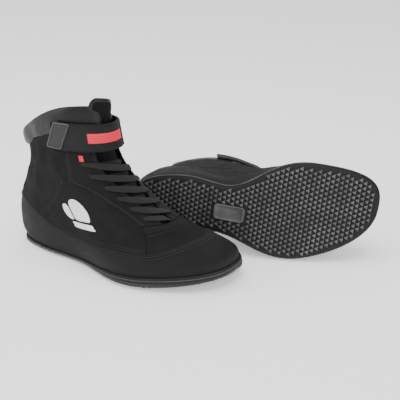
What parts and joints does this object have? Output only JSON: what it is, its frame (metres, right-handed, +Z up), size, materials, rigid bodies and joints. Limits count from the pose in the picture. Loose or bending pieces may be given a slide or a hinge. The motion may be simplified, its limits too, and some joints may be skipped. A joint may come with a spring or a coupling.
{
  "type": "pair of high-top boxing boots",
  "caption": "Pair of black high-top lace-up boxing boots with padded collar and ankle strap; one stands, the other lies on its side.",
  "frame": {"origin": "on the floor, under the middle of the right boot's heel", "axes": "+X towards the right boot's toe, +Z up, the right boot's outer side towards -Y"},
  "size_m": [0.3865, 0.3172, 0.2009],
  "materials": {
    "rubber": "matt rubber sole with a moulded tread",
    "board": "stiff fibre board",
    "foam": "textile-topped foam",
    "lining": "soft lining textile",
    "smooth_fabric": "smooth matt synthetic",
    "mesh_fabric": "fine woven mesh",
    "collar_leather": "glossy synthetic leather, padded",
    "tongue_fabric": "mesh over thin foam",
    "lace_braid": "flat woven braid",
    "webbing": "elastic woven webbing",
    "hook_and_loop": "hook and loop tape",
    "grey_trim": "ribbed grey tab",
    "red_trim": "raised red bars",
    "white_print": "white applied print"
  },
  "bodies": {
    "right_boot": {"right_outsole": "rubber", "right_insole_board": "board", "right_sockliner": "foam", "right_lining": "lining", "right_heel_counter": "board", "right_toe_puff": "board", "right_rand": "smooth_fabric", "right_vamp": "mesh_fabric", "right_lateral_quarter": "mesh_fabric", "right_medial_quarter": "mesh_fabric", "right_ankle_panel": "mesh_fabric", "right_lateral_eyestay": "smooth_fabric", "right_medial_eyestay": "smooth_fabric", "right_collar_pad": "collar_leather", "right_tongue": "tongue_fabric", "right_tongue_binding": "collar_leather", "right_lace": "lace_braid", "right_strap_anchor": "webbing", "right_loop_patch": "hook_and_loop", "right_emblem": "white_print", "right_size_tag": "red_trim"},
    "right_strap": {"right_strap_flap": "webbing", "right_strap_tip": "grey_trim", "right_strap_label": "red_trim", "right_hook_patch": "hook_and_loop"},
    "left_boot": {"left_outsole": "rubber", "left_insole_board": "board", "left_sockliner": "foam", "left_lining": "lining", "left_heel_counter": "board", "left_toe_puff": "board", "left_rand": "smooth_fabric", "left_vamp": "mesh_fabric", "left_lateral_quarter": "mesh_fabric", "left_medial_quarter": "mesh_fabric", "left_ankle_panel": "mesh_fabric", "left_lateral_eyestay": "smooth_fabric", "left_medial_eyestay": "smooth_fabric", "left_collar_pad": "collar_leather", "left_tongue": "tongue_fabric", "left_tongue_binding": "collar_leather", "left_lace": "lace_braid", "left_strap_anchor": "webbing", "left_loop_patch": "hook_and_loop", "left_emblem": "white_print", "left_size_tag": "red_trim"},
    "left_strap": {"left_strap_flap": "webbing", "left_strap_tip": "grey_trim", "left_strap_label": "red_trim", "left_hook_patch": "hook_and_loop"}
  },
  "joints": [
    {"name": "right_strap_hinge", "type": "hinge", "parent": "right_boot", "child": "right_strap", "pos_m": [0.08135, 0.0144, 0.1372], "axis": [-0.169, -0.035, 0.985], "range_deg": [0, 110]},
    {"name": "left_boot_lift", "type": "slide", "parent": "right_boot", "child": "left_boot", "axis": [0, 0.5, 0.866], "range_m": [0, 0.2]},
    {"name": "left_strap_hinge", "type": "hinge", "parent": "left_boot", "child": "left_strap", "pos_m": [0.15271, 0.22131, 0.04591], "axis": [0.519, -0.8354, 0.181], "range_deg": [0, 110]}
  ]
}
